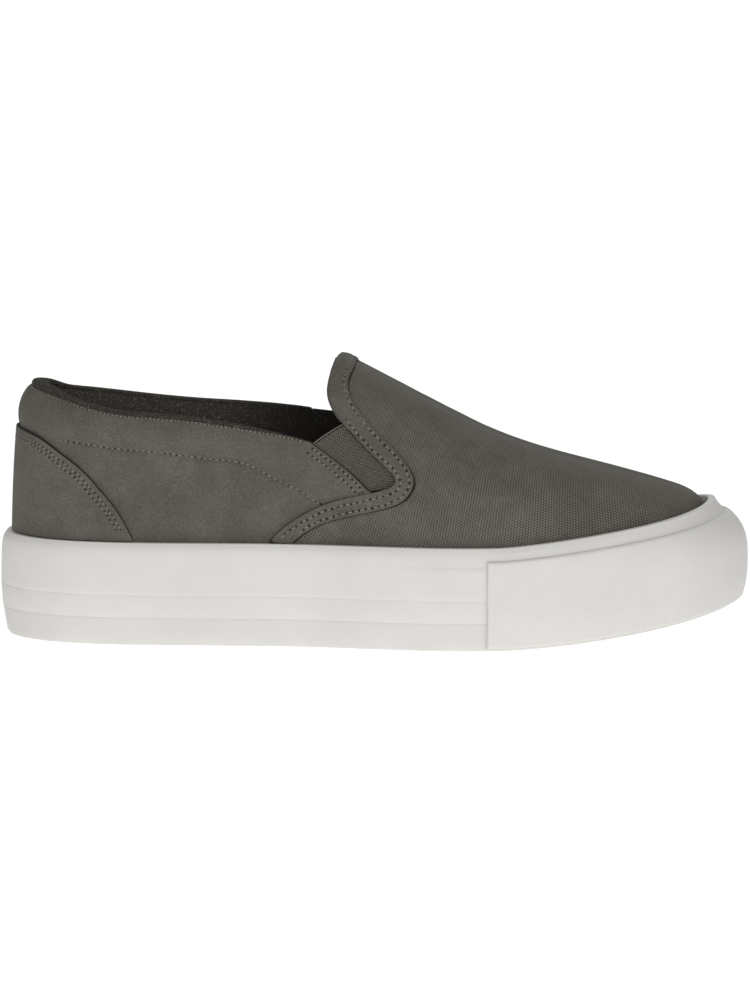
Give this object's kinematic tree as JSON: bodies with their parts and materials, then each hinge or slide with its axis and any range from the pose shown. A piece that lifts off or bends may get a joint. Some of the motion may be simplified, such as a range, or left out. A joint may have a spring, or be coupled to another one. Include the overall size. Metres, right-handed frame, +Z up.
{
  "type": "slip-on sneaker",
  "caption": "Low slip-on sneaker for the right foot: hollow upper with elastic side gores and heel counter, in a tall cup sole with a toe bumper.",
  "frame": {"origin": "on the floor under the middle of the shoe's bounding box", "axes": "+X to the toe, -Y to the outer side of the foot, +Z up"},
  "size_m": [0.268, 0.0999, 0.102],
  "materials": {
    "sole_rubber": "matt white rubber, finely textured at the toe",
    "vamp_leather": "grey nubuck, embossed with a fine mesh on the vamp",
    "trim_leather": "smooth grey nubuck",
    "elastic": "ribbed elastic",
    "knit": "knit binding",
    "lining": "dark textile"
  },
  "bodies": {
    "root": {"outsole": "sole_rubber", "midsole": "sole_rubber", "toe_bumper": "sole_rubber", "insole": "lining", "upper": "vamp_leather", "gore_lateral": "elastic", "gore_medial": "elastic", "vamp_trim": "trim_leather", "heel_counter": "trim_leather", "collar_binding": "knit"}
  },
  "joints": []
}
